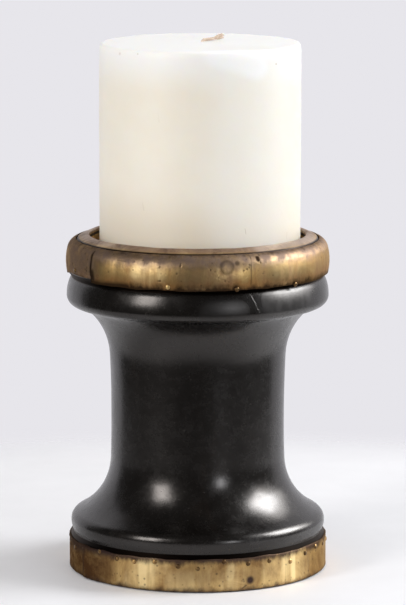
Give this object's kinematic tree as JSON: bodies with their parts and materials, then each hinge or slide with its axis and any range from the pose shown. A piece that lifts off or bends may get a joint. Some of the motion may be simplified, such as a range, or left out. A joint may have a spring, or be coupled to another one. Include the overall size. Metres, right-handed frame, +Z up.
{
  "type": "pillar candle holder",
  "caption": "Turned black wooden pillar candle holder with nailed brass bands round its rim and foot, a brass-lined recess and a pillar candle that lifts out.",
  "frame": {"origin": "middle of the face that the holder stands on", "axes": "+Z up along the turned axis; -Y towards the viewer of the picture, +X to the viewer's right; the bands' lapped seams are at the viewer's left"},
  "size_m": [0.0998, 0.0998, 0.2039],
  "materials": {
    "black_lacquered_wood": "black lacquer with a worn gloss",
    "band_brass": "hammered and tarnished",
    "cup_brass": "dull, brown tarnish",
    "nail_brass": "darkened",
    "dark_felt": "pressed felt",
    "ivory_wax": "smooth wax",
    "waxed_cotton": "braided and waxed"
  },
  "bodies": {
    "holder": {"turned_body": "black_lacquered_wood", "candle_cup": "cup_brass", "cup_screw": "nail_brass", "rim_band": "band_brass", "rim_band_nails": "nail_brass", "foot_band": "band_brass", "foot_band_nails": "nail_brass", "base_felt": "dark_felt"},
    "candle": {"candle_wax": "ivory_wax", "candle_wick": "waxed_cotton"}
  },
  "joints": [
    {"name": "candle_lift", "type": "slide", "parent": "holder", "child": "candle", "axis": [0, 0, 1], "range_m": [0, 0.1]}
  ]
}
